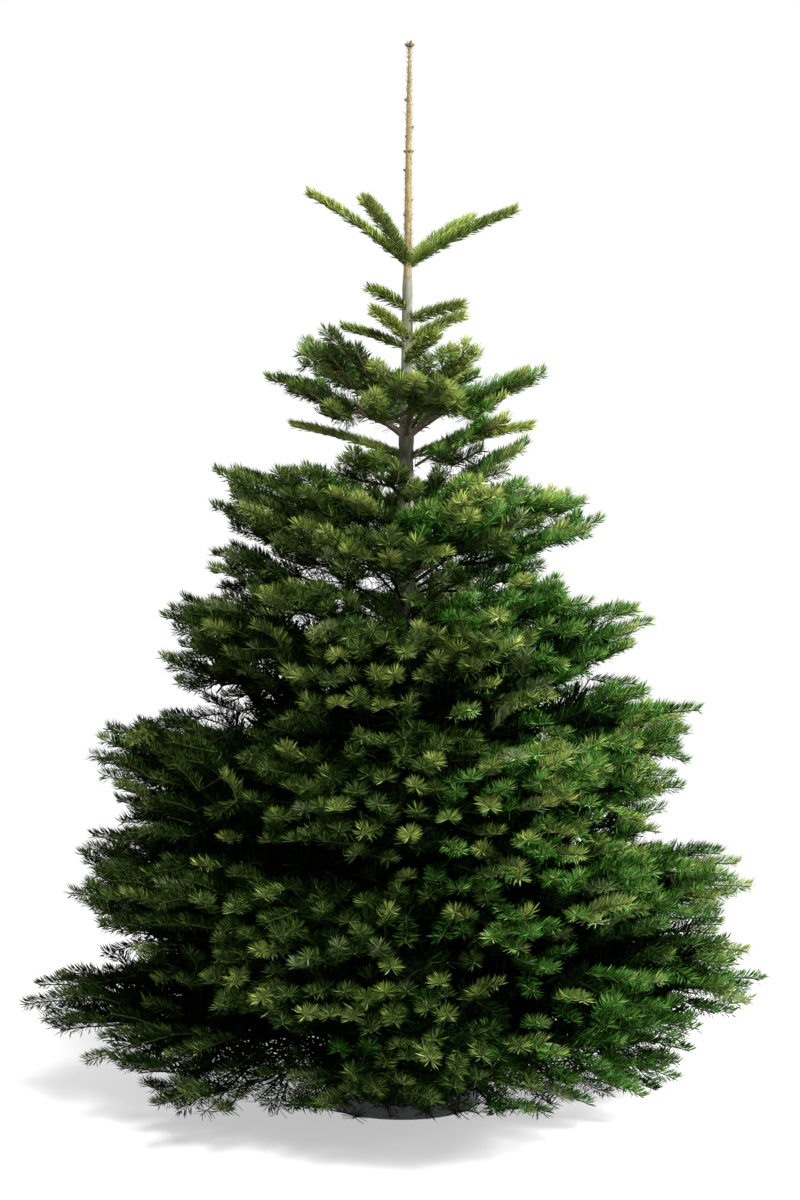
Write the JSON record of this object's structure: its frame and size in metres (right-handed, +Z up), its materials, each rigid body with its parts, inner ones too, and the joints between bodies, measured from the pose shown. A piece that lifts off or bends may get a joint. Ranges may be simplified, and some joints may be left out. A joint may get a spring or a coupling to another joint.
{
  "type": "christmas tree",
  "caption": "Cut fir Christmas tree: a conical evergreen of needled boughs in whorls on one upright trunk, clamped in a low round stand.",
  "frame": {"origin": "centre of the stand's flat underside, on the floor", "axes": "+Z up along the trunk, -Y towards the side the picture was taken from, +X to its right"},
  "size_m": [1.4396, 1.4436, 2],
  "materials": {
    "stand": "satin dark grey",
    "clamp": "zinc plated",
    "bark": "rough bark",
    "needles": "satin green needles"
  },
  "bodies": {
    "root": {"stand_base": "stand", "stand_clamp": "clamp", "trunk": "bark", "bough_w2_1": "bark", "bough_w2_2": "bark", "bough_w2_3": "bark", "bough_w2_4": "bark", "bough_w3_1": "bark", "bough_w3_2": "bark", "bough_w3_3": "bark", "bough_w3_4": "bark", "bough_w4_1": "bark", "bough_w4_2": "bark", "bough_w4_3": "bark", "bough_w4_4": "bark", "bough_w5_1": "bark", "bough_w5_2": "bark", "bough_w5_3": "bark", "bough_w5_4": "bark", "bough_w6_1": "bark", "bough_w6_2": "bark", "bough_w6_3": "bark", "bough_w6_4": "bark", "bough_w7_1": "bark", "bough_w7_2": "bark", "bough_w7_3": "bark", "bough_w7_4": "bark", "mass_w2_1": "needles", "mass_w2_2": "needles", "mass_w2_3": "needles", "mass_w2_4": "needles", "mass_w3_1": "needles", "mass_w3_2": "needles", "mass_w3_3": "needles", "mass_w3_4": "needles", "mass_w4_1": "needles", "mass_w4_2": "needles", "mass_w4_3": "needles", "mass_w4_4": "needles", "mass_w5_1": "needles", "mass_w5_2": "needles", "mass_w5_3": "needles", "mass_w5_4": "needles", "mass_w6_1": "needles", "mass_w6_2": "needles", "mass_w6_3": "needles", "mass_w6_4": "needles", "mass_w7_1": "needles", "mass_w7_2": "needles", "mass_w7_3": "needles", "mass_w7_4": "needles", "top_shoot_1": "needles", "top_shoot_2": "needles", "top_shoot_3": "needles", "top_shoot_4": "needles", "side_shoot_1": "needles", "side_shoot_2": "needles", "side_shoot_3": "needles", "side_shoot_4": "needles", "side_shoot_5": "needles"}
  },
  "joints": []
}
